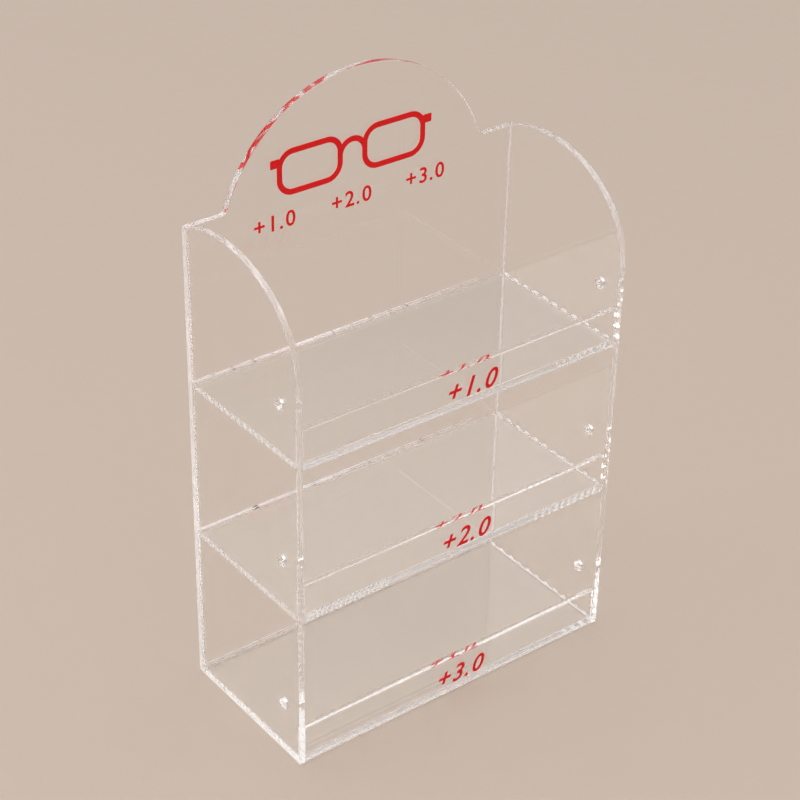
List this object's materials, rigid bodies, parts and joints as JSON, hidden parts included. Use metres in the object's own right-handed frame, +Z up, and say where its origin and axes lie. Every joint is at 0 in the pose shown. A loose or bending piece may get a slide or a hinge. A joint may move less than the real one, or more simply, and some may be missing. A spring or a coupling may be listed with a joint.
{
  "type": "eyeglasses display stand",
  "caption": "Clear acrylic counter stand with an arched header and open shelves behind low front lips, for showing folded eyeglasses.",
  "frame": {"origin": "centre of the stand's box on the surface that it stands on", "axes": "+Z up, the open front faces -Y, +X to the right for someone facing the front"},
  "size_m": [0.17, 0.0794, 0.2755],
  "materials": {
    "clear_acrylic": "clear polished sheet with flame-polished edges",
    "red_vinyl": "thin cut vinyl, satin"
  },
  "bodies": {
    "root": {"back_panel": "clear_acrylic", "bottom_front_lip": "clear_acrylic", "bottom_label_digit": "red_vinyl", "bottom_label_plus": "red_vinyl", "bottom_label_point": "red_vinyl", "bottom_label_zero": "red_vinyl", "bottom_shelf": "clear_acrylic", "header_scale_1_digit": "red_vinyl", "header_scale_1_plus": "red_vinyl", "header_scale_1_point": "red_vinyl", "header_scale_1_zero": "red_vinyl", "header_scale_2_digit": "red_vinyl", "header_scale_2_plus": "red_vinyl", "header_scale_2_point": "red_vinyl", "header_scale_2_zero": "red_vinyl", "header_scale_3_digit": "red_vinyl", "header_scale_3_plus": "red_vinyl", "header_scale_3_point": "red_vinyl", "header_scale_3_zero": "red_vinyl", "header_spectacles": "red_vinyl", "left_side_panel": "clear_acrylic", "middle_front_lip": "clear_acrylic", "middle_label_digit": "red_vinyl", "middle_label_plus": "red_vinyl", "middle_label_point": "red_vinyl", "middle_label_zero": "red_vinyl", "middle_shelf": "clear_acrylic", "right_side_panel": "clear_acrylic", "top_front_lip": "clear_acrylic", "top_label_digit": "red_vinyl", "top_label_plus": "red_vinyl", "top_label_point": "red_vinyl", "top_label_zero": "red_vinyl", "top_shelf": "clear_acrylic"}
  },
  "joints": []
}
